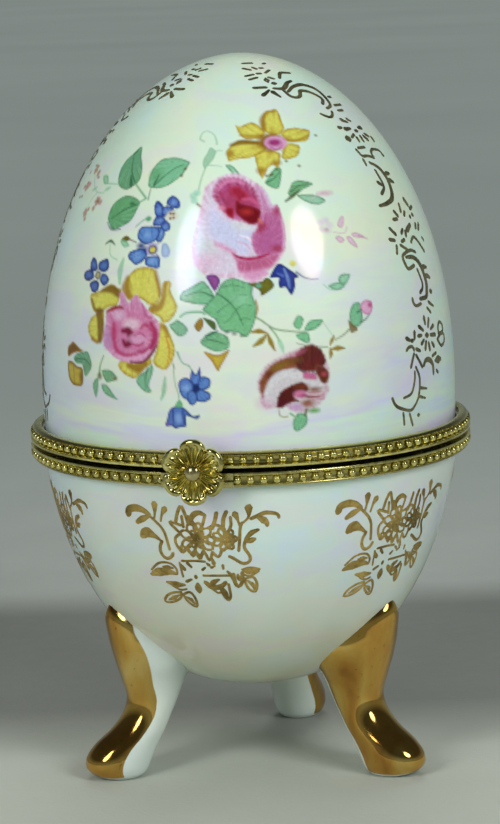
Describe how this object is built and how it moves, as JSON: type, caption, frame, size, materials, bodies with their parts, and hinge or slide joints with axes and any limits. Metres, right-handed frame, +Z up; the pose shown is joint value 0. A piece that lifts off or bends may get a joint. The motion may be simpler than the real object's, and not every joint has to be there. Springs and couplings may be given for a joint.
{
  "type": "egg-shaped porcelain trinket box on three feet",
  "caption": "Egg-shaped hinged porcelain trinket box with beaded brass rims, a flower clasp and cabriole feet.",
  "frame": {"origin": "on the floor, under the centre of the bounding box, which is also the egg's own axis", "axes": "+Z up along the egg, -Y towards the clasp (front), +Y towards the hinge, +X to the right seen from the front"},
  "size_m": [0.0708, 0.0782, 0.1143],
  "materials": {
    "pearl_glaze_lid": "glossy pearl lustre glaze with a painted flower bouquet and a gilt scroll border",
    "pearl_glaze_base": "glossy pearl lustre glaze with printed gilt flower sprays",
    "gilt_foot": "white glaze with bright burnished gold on the outer half",
    "stamped_brass": "polished stamped brass with a row of beads",
    "hinge_brass": "plain rolled brass",
    "cast_brass": "bright cast brass flower",
    "pin_brass": "drawn brass wire",
    "rim_cement": "matt hard cement"
  },
  "bodies": {
    "base": {"base_shell": "pearl_glaze_base", "foot_front_left": "gilt_foot", "foot_front_right": "gilt_foot", "foot_rear": "gilt_foot", "base_collar": "stamped_brass", "base_cement_bed": "rim_cement", "base_hinge_leaf": "hinge_brass", "hinge_pin": "pin_brass", "clasp_keeper": "hinge_brass"},
    "lid": {"lid_shell": "pearl_glaze_lid", "lid_collar": "stamped_brass", "lid_cement_bed": "rim_cement", "lid_hinge_leaf": "hinge_brass", "clasp_lug": "hinge_brass"},
    "clasp": {"clasp_tongue": "hinge_brass", "clasp_flower": "cast_brass", "clasp_rivet": "pin_brass"}
  },
  "joints": [
    {"name": "lid_hinge", "type": "hinge", "parent": "base", "child": "lid", "pos_m": [0, 0.0377, 0.0535], "axis": [-1, 0, 0], "range_deg": [0, 80]},
    {"name": "clasp_spring", "type": "hinge", "parent": "lid", "child": "clasp", "pos_m": [0, -0.03665, 0.0555], "axis": [-1, 0, 0], "range_deg": [0, 7], "stiffness_Nm_per_rad": 0.05}
  ]
}
